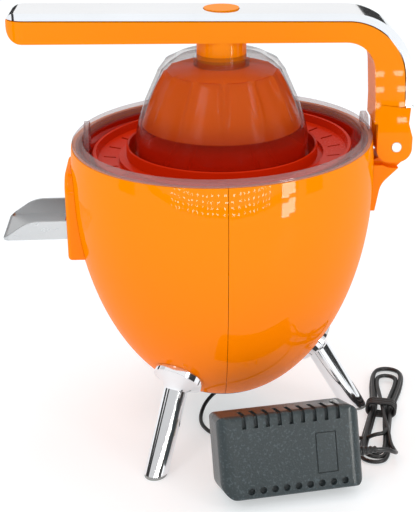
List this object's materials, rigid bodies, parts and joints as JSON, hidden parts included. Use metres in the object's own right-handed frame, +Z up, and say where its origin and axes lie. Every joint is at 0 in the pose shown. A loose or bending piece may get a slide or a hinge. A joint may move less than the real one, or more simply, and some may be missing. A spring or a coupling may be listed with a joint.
{
  "type": "citrus press juicer",
  "caption": "Egg-shaped powered citrus press on three splayed legs, with a hinged lever arm, press cup under a clear cover, strainer, spout and wall adapter on a cord.",
  "frame": {"origin": "on the floor, in the middle of the length and width of the machine without its cord", "axes": "+Z up, -X towards the spout, +X towards the hinge, -Y towards the user"},
  "size_m": [0.2664, 0.2123, 0.2717],
  "materials": {
    "orange_gloss": "glossy orange",
    "orange_cap": "glossy orange",
    "reamer_orange": "glossy orange",
    "chrome": "polished chrome plating",
    "clear_plastic": "clear",
    "smoked_plastic": "smoked, clear",
    "satin_steel": "satin",
    "rubber_foot": "soft",
    "dark_plastic": "matt black",
    "structural_plastic": "natural white",
    "gear_nylon": "nylon",
    "bearing_bronze": "sintered bronze",
    "motor_steel": "plated can",
    "adapter_case": "spark-eroded texture",
    "adapter_metal": "plated",
    "cord_jacket": "soft black"
  },
  "bodies": {
    "base": {"adapter_back": "adapter_case", "adapter_blades": "adapter_metal", "adapter_front": "adapter_case", "base_cover": "dark_plastic", "base_screws": "satin_steel", "bracket_screws": "satin_steel", "collector_chimney": "clear_plastic", "collector_floor": "clear_plastic", "collector_ledge": "clear_plastic", "collector_outlet": "clear_plastic", "collector_rim": "clear_plastic", "cord_hank": "cord_jacket", "cord_lead": "cord_jacket", "cord_tail": "cord_jacket", "deck_screws": "satin_steel", "foot_pads": "rubber_foot", "gear_frame": "structural_plastic", "hank_tie": "cord_jacket", "hinge_bracket": "orange_gloss", "idler_pin": "satin_steel", "juice_collector": "clear_plastic", "leg_back": "chrome", "leg_front": "chrome", "leg_hinge": "chrome", "leg_screws": "satin_steel", "micro_switch": "dark_plastic", "motor": "motor_steel", "motor_deck": "structural_plastic", "motor_end_bell": "motor_steel", "power_jack": "dark_plastic", "power_plug": "dark_plastic", "return_spring": "satin_steel", "shaft_bearing": "bearing_bronze", "shaft_seal": "rubber_foot", "shell_hinge_side": "orange_gloss", "shell_spout_side": "orange_gloss", "spout": "satin_steel", "spout_plate": "orange_gloss", "strain_relief": "cord_jacket", "strainer": "orange_gloss", "wiring": "cord_jacket"},
    "thrust": {"thrust_cup": "satin_steel"},
    "spindle": {"reamer": "reamer_orange", "drive_shaft": "satin_steel", "output_gear": "gear_nylon"},
    "idler": {"idler_gear": "gear_nylon"},
    "motor_rotor": {"motor_pinion": "gear_nylon"},
    "arm": {"arm_body": "orange_gloss", "arm_trim": "chrome", "collar": "orange_gloss", "cup_bolt": "satin_steel", "knuckle": "orange_gloss", "hinge_pin": "satin_steel", "arm_screws": "satin_steel", "press_cup": "orange_gloss", "smoked_cover": "smoked_plastic", "button_spring": "satin_steel"},
    "button": {"release_button": "orange_cap"}
  },
  "joints": [
    {"name": "arm_hinge", "type": "hinge", "parent": "base", "child": "arm", "pos_m": [0.1152, 0, 0.1874], "axis": [0, 1, 0], "range_deg": [0, 95]},
    {"name": "spindle_press", "type": "slide", "parent": "base", "child": "thrust", "axis": [0, 0, -1], "range_m": [0, 0.0015], "stiffness_N_per_m": 2500, "springref_m": -0.0025, "deforming": ["return_spring"]},
    {"name": "spindle_spin", "type": "hinge", "parent": "thrust", "child": "spindle", "pos_m": [0.0104, 0, 0.09], "axis": [0, 0, 1], "continuous": true},
    {"name": "idler_spin", "type": "hinge", "parent": "base", "child": "idler", "pos_m": [-0.0271, 0, 0.085], "axis": [0, 0, 1], "continuous": true},
    {"name": "rotor_spin", "type": "hinge", "parent": "base", "child": "motor_rotor", "pos_m": [-0.0031, 0, 0.085], "axis": [0, 0, 1], "continuous": true},
    {"name": "button_press", "type": "slide", "parent": "arm", "child": "button", "axis": [0, 0, -1], "range_m": [0, 0.002], "stiffness_N_per_m": 500, "springref_m": -0.002, "deforming": ["button_spring"]}
  ],
  "couplings": [
    {"joint": "idler_spin", "follows": "spindle_spin", "ratio": -4},
    {"joint": "rotor_spin", "follows": "spindle_spin", "ratio": 16}
  ]
}
